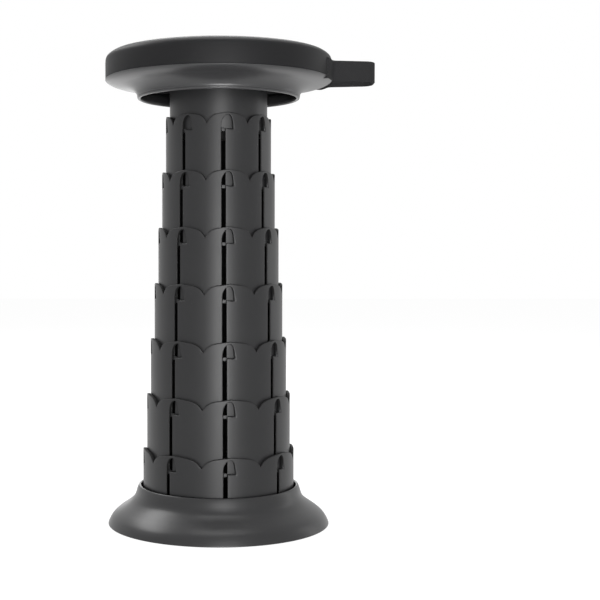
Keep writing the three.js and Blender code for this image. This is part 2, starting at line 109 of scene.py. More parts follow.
# Seat
SEAT_SIDE = 107.8              # radius of the skirt's outside
SEAT_FLAT = 98.6               # radius where the flat top starts to fall towards the skirt
SEAT_PLATE = 4.0
SKIRT_WALL = 2.5
HUB_RADIUS = 43.15
HUB_DEPTH = 3.0
RIB_INNER = 80.0
RIB_END_GAP = 2.8              # from the rib's outer end to the skirt
RIB_THICKNESS = 1.6
RIB_DEPTH = 9.0
RIB_ROOT = 1.0                 # how far a rib reaches into the plate
LOBE_RADIUS = 42.3
LOBE_NOTCH_RADIUS = 38.6
LOBE_FIRST_NOTCH = math.radians(-8.6)
LOBE_FULLNESS = 0.55           # exponent of a lobe's outline: lower is fuller
RECESS_GAP = 0.3
RECESS_DEPTH = 2.5
STRAP_WIDTH = 19.2
STRAP_THICKNESS = 1.6
STRAP_DROP = 1.6               # how far the strap sits below the middle of its solid
STRAP_DRAW_IN = 3.4            # how far the loop's end sits inside the end of its solid
STRAP_SLOT = 21.5              # degrees from the strap's middle to the slot of each end
PLUG_ANGLES = np.radians([30, 120, 210, 300])
PLUG_CIRCLE = 22.9
PLUG_HOLE = 10.9
PRY_ANGLES = np.radians([73, 163.5, 253.5, 343.5])


def node_box(node):
    """Lowest and highest corner of a node of the model, in millimetres."""
    low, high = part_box(node)
    return np.array(low) / MM, np.array(high) / MM


def rotated(grid, angle):
    """The grid turned round Z."""
    cosine, sine = math.cos(angle), math.sin(angle)
    return grid @ np.array([[cosine, sine, 0], [-sine, cosine, 0], [0, 0, 1]])


def ringed(radius, height, sides=SIDES):
    """Rings round Z. radius and height have a row for each ring, and one column or one for each angle."""
    angle = np.linspace(0, TURN, sides + 1)[None, :]
    radius, height, angle = np.broadcast_arrays(radius, height, angle)
    return np.stack([radius * np.cos(angle), radius * np.sin(angle), height], axis=-1)


def turned(profile, sides=SIDES):
    """A profile of [radius, height] points carried round Z."""
    profile = np.asarray(profile, float)
    return ringed(profile[:, :1], profile[:, 1:], sides)


def arc(centre, radius, start, end, steps):
    """Points on a circle in a plane, from one angle to another, in degrees."""
    angle = np.radians(np.linspace(start, end, steps + 1))
    return np.stack([centre[0] + radius * np.cos(angle), centre[1] + radius * np.sin(angle)], axis=-1)


def line(start, end, count):
    """Points on a straight line, in even steps and without its end."""
    share = np.linspace(0, 1, count, endpoint=False)[:, None]
    return np.array(start) * (1 - share) + np.array(end) * share


def rounded(corners, closed=True, steps=5):
    """An outline whose corners [x, y, radius] are arcs that touch both sides."""
    corners = np.asarray(corners, float)
    outline = []
    for i, (x, y, radius) in enumerate(corners):
        corner = np.array([x, y])
        if radius == 0 or (not closed and i in (0, len(corners) - 1)):
            outline.append(corner[None])
            continue
        back = corners[i - 1, :2] - corner
        ahead = corners[(i + 1) % len(corners), :2] - corner
        back, ahead = back / np.linalg.norm(back), ahead / np.linalg.norm(ahead)
        half = math.acos(np.clip(back @ ahead, -1, 1)) / 2
        middle = (back + ahead) / np.linalg.norm(back + ahead)
        share = np.linspace(-1, 1, steps + 1)[:, None]
        bend = share * (math.pi / 2 - half)
        across = ahead - back
        across /= np.linalg.norm(across)
        centre = corner + middle * radius / math.sin(half)
        outline.append(centre + radius * (np.sin(bend) * across - np.cos(bend) * middle))
    if closed:
        outline.append(outline[0][:1])
    return np.concatenate(outline)


def flowing(points, steps=6):
    """A smooth curve through the points: a Catmull-Rom spline."""
    points = np.asarray(points, float)
    ends = np.concatenate([2 * points[:1] - points[1:2], points, 2 * points[-1:] - points[-2:-1]])
    p0, p1, p2, p3 = ends[:-3, None], ends[1:-2, None], ends[2:-1, None], ends[3:, None]
    t = np.linspace(0, 1, steps, endpoint=False)[None, :, None]
    curve = 0.5 * (2 * p1 + (p2 - p0) * t + (2 * p0 - 5 * p1 + 4 * p2 - p3) * t ** 2
                   + (3 * p1 - p0 - 3 * p2 + p3) * t ** 3)
    return np.concatenate([curve.reshape(-1, 2), points[-1:]])


def soft_block(size, centre, angle, squareness=0.22, steps=16):
    """A block with soft edges: a superellipsoid on a grid of two angles, turned round Z by angle. The
    cosines and sines of the two angles are raised to squareness, and the lower it is the squarer."""
    def power(values):
        values = np.round(values, 9)
        return np.sign(values) * np.abs(values) ** squareness

    across = np.linspace(-math.pi / 2, math.pi / 2, steps + 1)[:, None]
    around = np.linspace(0, TURN, 2 * steps + 1)[None, :]
    unit = np.stack(np.broadcast_arrays(
        power(np.cos(across)) * power(np.cos(around)),
        power(np.cos(across)) * power(np.sin(around)),
        power(np.sin(across))), axis=-1)
    return rotated(unit * np.asarray(size) / 2 + np.asarray(centre), angle)


def surface(name, grids, kept=None, attribute=None, values=None):
    """A mesh object from grids of points: neighbours make quads, doubles merge, faces turn outwards.
    kept masks the quads of every grid, and values are the attribute at each point of every grid."""
    points, quads, start = [], [], 0
    for grid in grids:
        rows, columns = grid.shape[:2]
        index = start + np.arange(rows * columns).reshape(rows, columns)
        square = np.stack([index[:-1, :-1], index[1:, :-1], index[1:, 1:], index[:-1, 1:]], axis=-1)
        quads.append(square.reshape(-1, 4) if kept is None else square[kept])
        points.append(grid.reshape(-1, 3) * MM)
        start += rows * columns
    mesh = bpy.data.meshes.new(name)
    mesh.from_pydata(np.concatenate(points).tolist(), [], np.concatenate(quads).tolist())
    if attribute:
        layer = mesh.attributes.new(attribute, "FLOAT", "POINT")
        layer.data.foreach_set("value", np.tile(values.ravel(), len(grids)).astype(np.float32))
    finish_mesh(mesh)
    piece = bpy.data.objects.new(name, mesh)
    bpy.context.scene.collection.objects.link(piece)
    return piece


def finish_mesh(mesh):
    """Merges doubles, drops empty faces and unused points, turns all faces outwards and smooths between
    creases."""
    work = bmesh.new()
    work.from_mesh(mesh)
    unused = [point for point in work.verts if not point.link_faces]
    bmesh.ops.delete(work, geom=unused, context="VERTS")
    bmesh.ops.remove_doubles(work, verts=work.verts, dist=MERGE * MM)
    bmesh.ops.dissolve_degenerate(work, dist=MERGE * MM, edges=work.edges)
    bmesh.ops.recalc_face_normals(work, faces=work.faces)
    work.to_mesh(mesh)
    work.free()
    mesh.polygons.foreach_set("use_smooth", np.ones(len(mesh.polygons), bool))
    mesh.set_sharp_from_angle(angle=CREASE)


def join(piece, other):
    """Adds another object's mesh to the piece."""
    work = bmesh.new()
    work.from_mesh(piece.data)
    work.from_mesh(other.data)
    work.to_mesh(piece.data)
    work.free()
    bpy.data.objects.remove(other)
    piece.data.set_sharp_from_angle(angle=CREASE)


def cut(piece, grids):
    """Cuts the closed shapes of the grids out of the piece."""
    cutter = surface("cutter", grids)
    modifier = piece.modifiers.new("cut", "BOOLEAN")
    modifier.operation = "DIFFERENCE"
    modifier.solver = "MANIFOLD"
    modifier.object = cutter
    depsgraph = bpy.context.evaluated_depsgraph_get()
    result = bpy.data.meshes.new_from_object(piece.evaluated_get(depsgraph))
    piece.modifiers.clear()
    piece.data = result
    bpy.data.objects.remove(cutter)
    finish_mesh(result)


def drum(radius, low, high, sides=64):
    """A closed cylinder on Z, for cutting."""
    return turned([[0, low], [radius, low], [radius, high], [0, high]], sides)


def moved(grid, radius, angle):
    """The grid moved out from Z along an angle, and turned with it."""
    return rotated(grid + np.array([radius, 0, 0]), angle)


def linear(colour):
    """An sRGB hex colour as linear red, green, blue and alpha."""
    channels = [int(colour[i:i + 2], 16) / 255 for i in (1, 3, 5)]
    return [c / 12.92 if c <= 0.04045 else ((c + 0.055) / 1.055) ** 2.4 for c in channels] + [1]


def add(tree, kind, settings=None, **inputs):
    """Adds a shader node: settings are its properties, and inputs its sockets, as values or as outputs
    to link. A socket goes by its name, or by i and its number."""
    node = tree.nodes.new(kind)
    for key, value in (settings or {}).items():
        setattr(node, key, value)
    for key, value in inputs.items():
        numbered = key[0] == "i" and key[1:].isdigit()
        socket = node.inputs[int(key[1:]) if numbered else key.replace("_", " ")]
        if isinstance(value, bpy.types.NodeSocket):
            tree.links.new(value, socket)
        else:
            socket.default_value = value
    return node


def shaded(name, **settings):
    """A new material with its tree, its shader and its Object coordinates. settings are the shader's."""
    material = bpy.data.materials.new(name)
    material.use_nodes = True
    tree = material.node_tree
    shader = tree.nodes["Principled BSDF"]
    for key, value in settings.items():
        shader.inputs[key.replace("_", " ")].default_value = value
    place = add(tree, "ShaderNodeTexCoord").outputs["Object"]
    return material, tree, shader, place


def moulded(name, colour, darker, roughness, specular, grain, depth, edge=None):
    """Injection-moulded plastic. The tool's spark-eroded grain gives a soft, slightly broken gloss,
    and flow in the mould gives broad faint changes of tone and gloss. grain is the pitch of the texture
    and depth its relief, in millimetres. Edges and inner faces, given by the edge attribute, are
    rougher, and the edge colour paints them darker: painted shade for the shadow in gaps and hollows."""
    flow_size, gloss_change, edge_roughness = 55 * MM, 0.04, 0.85
    material, tree, shader, place = shaded(name, IOR=1.49, Specular_IOR_Level=specular)
    flow = add(tree, "ShaderNodeTexNoise", Vector=place, Scale=1 / flow_size, Detail=3.0, Roughness=0.55)
    tone = add(tree, "ShaderNodeMix", {"data_type": "RGBA"}, Factor=flow.outputs["Fac"],
               i6=linear(darker), i7=linear(colour))
    gloss = add(tree, "ShaderNodeMapRange", Value=flow.outputs["Fac"],
                To_Min=roughness - gloss_change, To_Max=roughness + gloss_change)
    colour_out, gloss_out = tone.outputs[2], gloss.outputs["Result"]
    if edge:
        # painted shade: edges and inner faces take the dark edge colour where the gaps and the tubes'
        # insides lie in shadow
        painted_shade = add(tree, "ShaderNodeAttribute", {"attribute_name": "edge"}).outputs["Fac"]
        colour_out = add(tree, "ShaderNodeMix", {"data_type": "RGBA"}, Factor=painted_shade, i6=colour_out,
                         i7=linear(edge)).outputs[2]
        gloss_out = add(tree, "ShaderNodeMix", i0=painted_shade, i2=gloss_out, i3=edge_roughness).outputs[0]
    tree.links.new(colour_out, shader.inputs["Base Color"])
    tree.links.new(gloss_out, shader.inputs["Roughness"])
    fine = add(tree, "ShaderNodeTexNoise", Vector=place, Scale=1 / (grain * MM), Detail=2.0,
               Roughness=0.6)
    relief = add(tree, "ShaderNodeBump", Height=fine.outputs["Fac"], Strength=1.0, Distance=depth * MM)
    tree.links.new(relief.outputs["Normal"], shader.inputs["Normal"])
    return material


def webbing(name, colour, highlight, pitch, cords, depth):
    """Woven nylon webbing: warp cords along the strap pass over and under the weft, which leaves
    short ribs in staggered rows. The height is a sine along the strap with a period of pitch, shifted by
    half a period in every second row of cords. All are drawn coarser than the real 1 mm, so that they
    show."""
    material, tree, shader, place = shaded(name, Roughness=0.9, Specular_IOR_Level=0.16)
    along = add(tree, "ShaderNodeAttribute", {"attribute_name": "along"}).outputs["Fac"]
    up = add(tree, "ShaderNodeSeparateXYZ", Vector=place).outputs["Z"]
    row = add(tree, "ShaderNodeMath", {"operation": "MULTIPLY"}, i0=up, i1=1 / (cords * MM))
    odd = add(tree, "ShaderNodeMath", {"operation": "PINGPONG"}, i0=row.outputs[0], i1=1.0)
    phase = add(tree, "ShaderNodeMath", {"operation": "ROUND"}, i0=odd.outputs[0])
    turn = add(tree, "ShaderNodeMath", {"operation": "MULTIPLY"}, i0=along, i1=TURN / pitch)
    shifted = add(tree, "ShaderNodeMath", {"operation": "MULTIPLY_ADD"}, i0=phase.outputs[0], i1=math.pi,
                  i2=turn.outputs[0])
    over = add(tree, "ShaderNodeMath", {"operation": "SINE"}, i0=shifted.outputs[0])
    height = add(tree, "ShaderNodeMapRange", Value=over.outputs[0], From_Min=-1.0)
    # the raised crowns take the lighter highlight colour: a painted highlight
    tone = add(tree, "ShaderNodeMix", {"data_type": "RGBA"}, Factor=height.outputs["Result"],
               i6=linear(colour), i7=linear(highlight))
    tree.links.new(tone.outputs[2], shader.inputs["Base Color"])
    relief = add(tree, "ShaderNodeBump", Height=height.outputs["Result"], Strength=0.8, Distance=depth * MM)
    tree.links.new(relief.outputs["Normal"], shader.inputs["Normal"])
    return material


def zinc_plated(name, colour, darker):
    """Zinc-plated steel: a dull grey metal with a fine cloudy bloom."""
    bloom_size = 1.5 * MM
    material, tree, shader, place = shaded(name, Metallic=1.0)
    bloom = add(tree, "ShaderNodeTexNoise", Vector=place, Scale=1 / bloom_size, Detail=4.0)
    tone = add(tree, "ShaderNodeMix", {"data_type": "RGBA"}, Factor=bloom.outputs["Fac"],
               i6=linear(darker), i7=linear(colour))
    tree.links.new(tone.outputs[2], shader.inputs["Base Color"])
    gloss = add(tree, "ShaderNodeMapRange", Value=bloom.outputs["Fac"], To_Min=0.3, To_Max=0.5)
    tree.links.new(gloss.outputs["Result"], shader.inputs["Roughness"])
    return material


SEAT_PLASTIC = moulded("seat_moulded_pp", "#1f1f20", "#1c1c1d",
                       roughness=0.5, specular=0.12, grain=0.9, depth=0.02)
MEDALLION_PLASTIC = moulded("medallion_moulded_pp", "#2e2e2f", "#29292a",
                            roughness=0.5, specular=0.2, grain=0.9, depth=0.015)
PLUG_PLASTIC = moulded("plug_moulded_pp", "#272728", "#232324",
                       roughness=0.5, specular=0.2, grain=0.9, depth=0.015)
TRAY_PLASTIC = moulded("tray_satin_abs", "#363637", "#323233",
                       roughness=0.36, specular=0.43, grain=1.4, depth=0.006)
# the tubes' edge colour is painted shade on their edges and inner faces
TUBE_PLASTIC = moulded("tube_satin_abs", "#222223", "#1f1f20",
                       roughness=0.42, specular=0.32, grain=1.2, depth=0.008, edge="#0b0b0b")
BASE_PLASTIC = moulded("base_satin_abs", "#262627", "#232324",
                       roughness=0.35, specular=0.35, grain=1.4, depth=0.006)
PLATE_PLASTIC = moulded("plate_moulded_pp", "#39393a", "#333334",
                        roughness=0.6, specular=0.3, grain=0.9, depth=0.02)
RUBBER = moulded("pad_moulded_rubber", "#1f1f20", "#1a1a1b",
                 roughness=0.8, specular=0.3, grain=1.1, depth=0.04)
STRAP_NYLON = webbing("strap_nylon_webbing", "#1f1f20", "#333334", pitch=2.4, cords=1.6, depth=0.12)
SCREW_STEEL = zinc_plated("screw_zinc_plated_steel", "#a3a4a6", "#85878a")


def dress(piece, material, body, node):
    """Gives a finished piece its material and its body, and hides the model's node that it stands for."""
    piece.data.materials.clear()
    piece.data.materials.append(material)
    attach(piece, body)
    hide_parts(node)
    return piece


def lobed(angle, margin):
    """The medallion's outline: a circle of notches with a full round lobe between each two."""
    share = (angle - LOBE_FIRST_NOTCH) * LOBES / TURN % 1
    bulge = np.sin(math.pi * share) ** LOBE_FULLNESS
    return LOBE_NOTCH_RADIUS + (LOBE_RADIUS - LOBE_NOTCH_RADIUS) * bulge + margin


def petal_relief(radius, angle):
    """Faint petals raised on the seat's top: each widens and narrows again between two circles, as a sine
    of the way between them."""
    inner, outer = 56.0, 95.0
    widest, height = 13.0, 0.22
    bevel, outward = 2.5, 1.3
    share = np.clip((radius - inner) / (outer - inner), 0, 1)
    width = widest * np.sin(math.pi * share ** outward)
    sector = TURN / LOBES
    aside = np.abs((angle - LOBE_FIRST_NOTCH) % sector - sector / 2) * radius
    return height * np.clip((width - aside) / bevel, 0, 1)


def strap_height():
    """Height of the strap's middle."""
    low, high = node_box("carry_strap")
    return (low[2] + high[2]) / 2 - STRAP_DROP


def strap_slot_cutters(lowest):
    """Blocks that clear the two slots in the seat's rim where the strap's ends go in, above a height."""
    length, width, margin, past_rim = 12.0, 4.0, 0.4, 2.0
    highest = strap_height() + STRAP_WIDTH / 2 + margin
    size = [length, width, highest - lowest]
    rim = node_box("seat_cover")[1][0]
    centre = [rim + past_rim - length / 2, 0, (lowest + highest) / 2]
    angles = np.radians([STRAP_SLOT, -STRAP_SLOT])
    return [soft_block(size, centre, angle, squareness=0.04) for angle in angles]


def lobed_rings(rows, angle):
    """One grid of the rings of all the rows. A row has a radius and a height for one ring or more."""
    return np.concatenate([ringed(r + 0 * angle, z + 0 * r, SIDES * 2) for r, z in rows])


def seat_plate():
    """The seat's plate and skirt: rings from the recess's middle over the top, down the skirt and back
    under the plate to the hub. The rings near the recess follow the medallion's lobes."""
    low, high = node_box("seat_cover")
    top, radius = high[2], high[0]
    under = top - SEAT_PLATE
    floor = top - RECESS_DEPTH
    skirt_inside = radius - SKIRT_WALL
    side_top = top - 10.0
    rings, ring_spacing, fillet = 46, 0.9, 0.25
    angle = np.linspace(0, TURN, SIDES * 2 + 1)[None, :]
    rim = lobed(angle, RECESS_GAP)
    bend = np.radians(np.linspace(0, 90, 4))[:, None]
    share = (np.linspace(0, 1, rings) ** ring_spacing)[1:, None]
    spread = rim + fillet + (SEAT_FLAT - rim - fillet) * share
    edge = flowing([
        [SEAT_FLAT, top], [100.8, top - 0.35], [102.9, top - 1.3], [104.9, top - 2.7],
        [106.6, top - 4.4], [107.5, top - 6.6], [SEAT_SIDE, side_top],
    ])[1:-1]
    skirt = rounded([
        [SEAT_SIDE, side_top, 0], [SEAT_SIDE, low[2], 0.3], [skirt_inside, low[2], 0.3],
        [skirt_inside, under, 1.0], [HUB_RADIUS, under, 0.6], [HUB_RADIUS, under - HUB_DEPTH, 0.4],
        [0, under - HUB_DEPTH, 0],
    ], closed=False)
    outside = np.concatenate([edge, skirt])
    rows = [
        (0 * rim, floor),
        (rim, floor),
        (rim + fillet * (1 - np.cos(bend)), top - fillet * (1 - np.sin(bend))),
        (spread, top + petal_relief(spread, angle)),
        (outside[:, :1], outside[:, 1:]),
    ]
    piece = surface("seat_plate", [lobed_rings(rows, angle)])
    below_skirt = low[2] - 3
    cut(piece, strap_slot_cutters(below_skirt))
    rib_length = skirt_inside - RIB_END_GAP - RIB_INNER
    size = [rib_length, RIB_THICKNESS, RIB_DEPTH + RIB_ROOT]
    centre = [RIB_INNER + rib_length / 2, 0, under - (RIB_DEPTH - RIB_ROOT) / 2]
    ribs = [soft_block(size, centre, TURN * i / RIBS, squareness=0.08) for i in range(RIBS)]
    join(piece, surface("ribs", ribs))
    return dress(piece, SEAT_PLASTIC, "seat", "seat_cover")


def centre_plate():
    """The medallion: rings that follow its lobes, with a round hole for each plug and four pry notches."""
    low, high = node_box("seat_medallion")
    bottom, top, fillet = low[2], high[2], 0.35
    angle = np.linspace(0, TURN, SIDES * 2 + 1)[None, :]
    bend = np.radians(np.linspace(0, 90, 4))[:, None]
    edge = lobed(angle, 0)
    rows = [
        (0 * edge, bottom),
        (edge, bottom),
        (edge - fillet * (1 - np.cos(bend)), top - fillet * (1 - np.sin(bend))),
        (0 * edge, top),
    ]
    piece = surface("centre_plate", [lobed_rings(rows, angle)])
    hole = rounded([
        [0, bottom - 1, 0], [PLUG_HOLE, bottom - 1, 0], [PLUG_HOLE, top - 0.4, 0.3],
        [PLUG_HOLE + 0.6, top + 0.2, 0], [0, top + 0.2, 0],
    ], closed=False)
    cut(piece, [moved(turned(hole, 72), PLUG_CIRCLE, plug_angle) for plug_angle in PLUG_ANGLES])
    notch, notch_place = [2.2, 5.0, 1.6], [LOBE_RADIUS - 0.6, 0, top]
    cut(piece, [soft_block(notch, notch_place, pry_angle, squareness=0.5) for pry_angle in PRY_ANGLES])
    return dress(piece, MEDALLION_PLASTIC, "seat", "seat_medallion")


def plugs():
    """Round plugs with a slightly dished face and a rounded edge, on a short stem."""
    plug_radius, stem_radius, stem_length = 9.6, 4.4, 0.9
    for number, angle in enumerate(PLUG_ANGLES, 1):
        low, high = node_box(f"seat_plug_{number}")
        seat, top = low[2] + stem_length, high[2]
        profile = rounded([
            [0, low[2], 0], [stem_radius, low[2], 0.3], [stem_radius, seat, 0], [plug_radius, seat, 0.2],
            [plug_radius, top, 0.5], [plug_radius - 1.6, top, 0.6], [plug_radius - 2.4, top - 0.18, 0.6],
            [0, top - 0.3, 0],
        ], closed=False)
        piece = surface(f"plug_{number}", [moved(turned(profile, 96), PLUG_CIRCLE, angle)])
        dress(piece, PLUG_PLASTIC, "seat", f"seat_plug_{number}")


def tray():
    """The flared shell under the seat: a spigot inside the skirt, a hollow flare, a collar, a fine groove
    and a rolled lip. The strap's slots end above the flare."""
    low, high = node_box("seat_tray")
    skirt_gap = 0.3
    lip, rim = low[2], node_box("seat_cover")[0][2] - skirt_gap
    flare = flowing([
        [107.9, rim - 0.5], [107.0, rim - 1.4], [104.6, rim - 2.7], [100.8, rim - 3.8], [96.2, rim - 4.7],
        [91.2, rim - 5.6], [86.6, rim - 6.9], [83.2, rim - 8.4], [80.7, rim - 10.0], [79.0, rim - 11.7],
        [78.1, rim - 13.3], [77.8, rim - 14.9],
    ])
    collar = rounded([
        [77.8, rim - 15.1, 0], [77.3, rim - 15.5, 0.2], [77.6, rim - 15.9, 0.3], [77.4, lip, 1.4],
        [74.4, lip, 1.1], [74.4, lip + 3.0, 1.0], [75.8, lip + 5.6, 1.5],
    ], closed=False)
    inside = flowing([
        [78.4, rim - 8.6], [82.0, rim - 6.1], [87.0, rim - 4.4], [93.0, rim - 3.3], [99.0, rim - 2.2],
        [102.8, rim - 1.4],
    ])
    spigot = rounded([
        [103.65, rim + 1, 0], [103.65, high[2], 0.5], [105.85, high[2], 0.5], [105.85, rim, 0.2],
        [107.9, rim, 0.2], [107.9, rim - 0.5, 0],
    ], closed=False)
    piece = surface("tray", [turned(np.concatenate([flare, collar, inside, spigot]))])
    above_flare = rim + 0.1
    cut(piece, strap_slot_cutters(above_flare))
    return dress(piece, TRAY_PLASTIC, "seat", "seat_tray")


def lug_blocks(outside, bottom):
    """The eight lugs at a tube's foot, with soft edges."""
    reach = RUNNING_GAP + LUG_ENGAGEMENT
    size = [reach + LUG_ROOT, LUG_WIDTH, LUG_HEIGHT]
    centre = [outside + reach - size[0] / 2, 0, bottom + LUG_HEIGHT / 2]
    first = SLOT_TURN - TURN / 4
    return [soft_block(size, centre, first + i * TURN / PETALS, squareness=0.16) for i in range(PETALS)]


def plain_tube():
    """The narrowest tube: a plain wall, closed near its top by a web under the seat's hub."""
    low, high = node_box("top_tube")
    outside, inside = PLAIN_TUBE_RADIUS, PLAIN_TUBE_RADIUS - WALL
    web_thickness = 4.0
    web_top = high[2] - HUB_DEPTH
    web_bottom = web_top - web_thickness
    profile = rounded([
        [0, web_bottom, 0], [inside, web_bottom, 0.8], [inside, low[2], 0.3], [outside, low[2], 0.4],
        [outside, high[2], 0.3], [inside, high[2], 0.3], [inside, web_top, 0.3], [0, web_top, 0],
    ], closed=False)
    piece = surface("plain_tube", [turned(profile)] + lug_blocks(outside, low[2]))
    return dress(piece, TUBE_PLASTIC, "seat", "top_tube")


def mitres(points, closed):
    """At each point of a line, the way to step aside to its left so that both its sides step aside by
    one."""
    side = np.diff(points, axis=0)
    side = np.stack([-side[:, 1], side[:, 0]], axis=-1) / np.linalg.norm(side, axis=1)[:, None]
    before = np.concatenate([side[-1:] if closed else side[:1], side])
    after = np.concatenate([side, side[:1] if closed else side[-1:]])
    return (before + after) / (1 + np.sum(before * after, axis=1))[:, None]


def petal_outlines(outside):
    """Matching lines round a window with its slot and round its petal, both anticlockwise from the slot's
    foot, as [along, up] on the unrolled outside. The arch leans and is fuller than half an ellipse, and
    the crest falls aside from its peak by a straight part and a steep one."""
    slot = SLOT_WIDTH / 2
    window_right = WINDOW_WIDTH - slot
    half_window = WINDOW_WIDTH / 2
    arch_start = LEDGE + ARCH_START
    arch_rise = TUBE_HEIGHT - CREST_BAND - arch_start
    fan = LUG_HEIGHT + FAN_HEIGHT
    notch = TUBE_HEIGHT - NOTCH_DEPTH
    crest = outside * CREST_TURN
    half_petal = outside * TURN / PETALS / 2
    left, right = crest - half_petal, crest + half_petal

    corners = [[slot, fan], [slot, LEDGE], [window_right, LEDGE], [window_right, arch_start]]
    breaks = [0, TUBE_HEIGHT * SIDE_BREAKS[0], TUBE_HEIGHT * SIDE_BREAKS[1], notch]
    up_window = [line(corners[i], corners[i + 1], SIDE_STEPS[i]) for i in range(3)]
    up_petal = [line([right, breaks[i]], [right, breaks[i + 1]], SIDE_STEPS[i]) for i in range(3)]
    down = np.append(np.concatenate(up_petal)[:, 1], notch)[:0:-1] / notch
    turn = np.linspace(0, math.pi, ARCH_STEPS, endpoint=False)
    arch = np.stack([
        window_right - half_window + half_window * np.cos(turn) + ARCH_LEAN * np.sin(turn) ** 2,
        arch_start + arch_rise * np.sin(turn) ** ARCH_FULLNESS,
    ], axis=-1)
    share = np.linspace(1, -1, ARCH_STEPS, endpoint=False)
    aside = np.abs(share)
    fall = CREST_FALL * aside + (NOTCH_DEPTH - CREST_FALL) * aside ** NOTCH_SHARPNESS
    window = np.concatenate([
        line([-slot, LUG_HEIGHT], [slot, LUG_HEIGHT], FOOT_STEPS),
        line([slot, LUG_HEIGHT], [slot, fan], FAN_STEPS),
        *up_window,
        arch,
        np.stack([0 * down - slot, fan + (arch_start - fan) * down], axis=-1),
        line([-slot, fan], [-slot, LUG_HEIGHT], FAN_STEPS),
        [[-slot, LUG_HEIGHT]],
    ])
    petal = np.concatenate([
        line([-slot, 0], [slot, 0], FOOT_STEPS),
        line([slot, 0], [right, 0], FAN_STEPS),
        *up_petal,
        np.stack([crest + share * half_petal, TUBE_HEIGHT - fall], axis=-1),
        np.stack([0 * down + left, notch * down], axis=-1),
        line([left, 0], [-slot, 0], FAN_STEPS),
        [[-slot, 0]],
    ])
    return window, petal


def into_wall(window, petal):
    """The way from each point of both lines into the wall, by which the edges' rounds step in."""
    from_window = -mitres(window, closed=True)
    from_petal = np.zeros_like(petal)
    from_petal[:FIRST_SIDE + 1] = [0, 1]
    from_petal[LAST_SIDE:] = [0, 1]
    from_petal[FIRST_TOP:LAST_TOP + 1] = mitres(petal[FIRST_TOP:LAST_TOP + 1], closed=False)
    # at a notch the rounds of both crests meet straight below its point
    slope = from_petal[FIRST_TOP]
    from_petal[[FIRST_TOP, LAST_TOP]] = [0, -np.linalg.norm(slope) ** 2 / abs(slope[1])]
    return from_window, from_petal


def soft_part(window):
    """1 where the window's edge has its softer round, along the ledge, and less up its right side."""
    soft = np.zeros(len(window))
    columns = slice(FIRST_SIDE + SIDE_STEPS[0] + 1, FIRST_TOP + ARCH_STEPS // 2)
    fade = TUBE_HEIGHT - NOTCH_DEPTH - LEDGE
    soft[columns] = np.clip((LEDGE + fade + 1 - window[columns, 1]) / fade, 0, 1)
    return soft


def scalloped_tube(number):
    """One scalloped tube. A petal's wall is a grid. Its columns join the window's line to the petal's. Its
    rows go from the window over the outside, round the petal's edge and back over the inside. Quads where
    two petals meet have no edge and are left out."""
    bottom = node_box(f"scalloped_tube_{number}")[0][2]
    outside = PLAIN_TUBE_RADIUS + number * (WALL + RUNNING_GAP)
    window, petal = petal_outlines(outside)
    from_window, from_petal = into_wall(window, petal)
    soft = soft_part(window)
    shared = np.zeros(len(petal) - 1, bool)
    shared[FIRST_SIDE:FIRST_TOP] = True
    shared[LAST_TOP:LAST_SIDE] = True

    # the columns at both ends of the foot come twice, because the bridge between them is thinner
    columns = np.concatenate([np.arange(FOOT_STEPS + 1), np.arange(FOOT_STEPS, len(petal)), [0]])
    thin = np.zeros(len(columns), bool)
    thin[:FOOT_STEPS + 1] = True
    thin[-1] = True
    shared = np.concatenate([shared[:FOOT_STEPS], [False], shared[FOOT_STEPS:], [False]])
    window, petal = window[columns], petal[columns]
    from_window, from_petal = from_window[columns], from_petal[columns]
    soft = soft[columns][:, None]

    # each row: share of the way to the petal, how far the round has stepped in and sunk, and 1 inside.
    # the flat rows lie closer together near the window
    flat_rows, closeness = 10, 1.3
    bend = np.radians(np.linspace(0, 90, 4))
    stepped, sunk = 1 - np.cos(bend), 1 - np.sin(bend)
    round_rows = range(len(bend))
    across = np.linspace(0, 1, flat_rows + 2)[1:-1] ** closeness
    rows = [(0, stepped[i], sunk[i], 0) for i in round_rows]
    rows += [(share, 1, 0, 0) for share in across]
    rows += [(1, sunk[i], stepped[i], 0) for i in round_rows]
    rows += [(1, stepped[i], sunk[i], 1) for i in round_rows]
    rows += [(share, 1, 0, 1) for share in across[::-1]]
    rows += [(0, sunk[i], stepped[i], 1) for i in round_rows]
    rows.append(rows[0])
    share, stepped, sunk, inner = np.array(rows, float).T[:, :, None, None]

    near_round = EDGE_ROUND + (WINDOW_ROUND - EDGE_ROUND) * (1 - inner) * soft
    near = window + from_window * near_round * stepped
    far = petal + from_petal * EDGE_ROUND * stepped
    flat = near * (1 - share) + far * share
    # painted shade: the edges' rounds and the inner faces, except the window's soft ledge, get the dark
    # edge colour
    painted_edge_shade = (np.maximum(sunk, inner) * np.where(share == 0, 1 - soft, 1))[..., 0]
    sunk = (sunk * np.where(share == 0, near_round, EDGE_ROUND))[..., 0]
    inner = inner[..., 0]
    ledge_margin = 2.0
    beside_slot = np.clip(1 - (np.abs(flat[..., 0]) - SLOT_WIDTH / 2) / SLOT_TAPER, 0, 1)
    below_ledge = np.clip((LEDGE - ledge_margin - flat[..., 1]) / ledge_margin, 0, 1)
    wall = np.where(thin, BRIDGE, WALL - (WALL - SLOT_WALL) * beside_slot * below_ledge)
    radius = outside - sunk - (wall - 2 * sunk) * inner
    angle = SLOT_TURN - TURN / 4 + flat[..., 0] / outside
    grid = np.stack([radius * np.cos(angle), radius * np.sin(angle), bottom + flat[..., 1]], axis=-1)

    edge_rows = np.zeros(len(rows) - 1, bool)
    first_edge = len(bend) + len(across)
    edge_rows[first_edge:first_edge + 2 * len(bend) - 1] = True
    kept = ~(edge_rows[:, None] & shared[None, :])
    petals = [rotated(grid, i * TURN / PETALS) for i in range(PETALS)]
    piece = surface(f"tube_{number}", petals, kept, attribute="edge", values=painted_edge_shade)
    join(piece, surface("lugs", lug_blocks(outside, bottom)))
    body = "base" if number == TUBES else f"tier_{number}"
    return dress(piece, TUBE_PLASTIC, body, f"scalloped_tube_{number}")


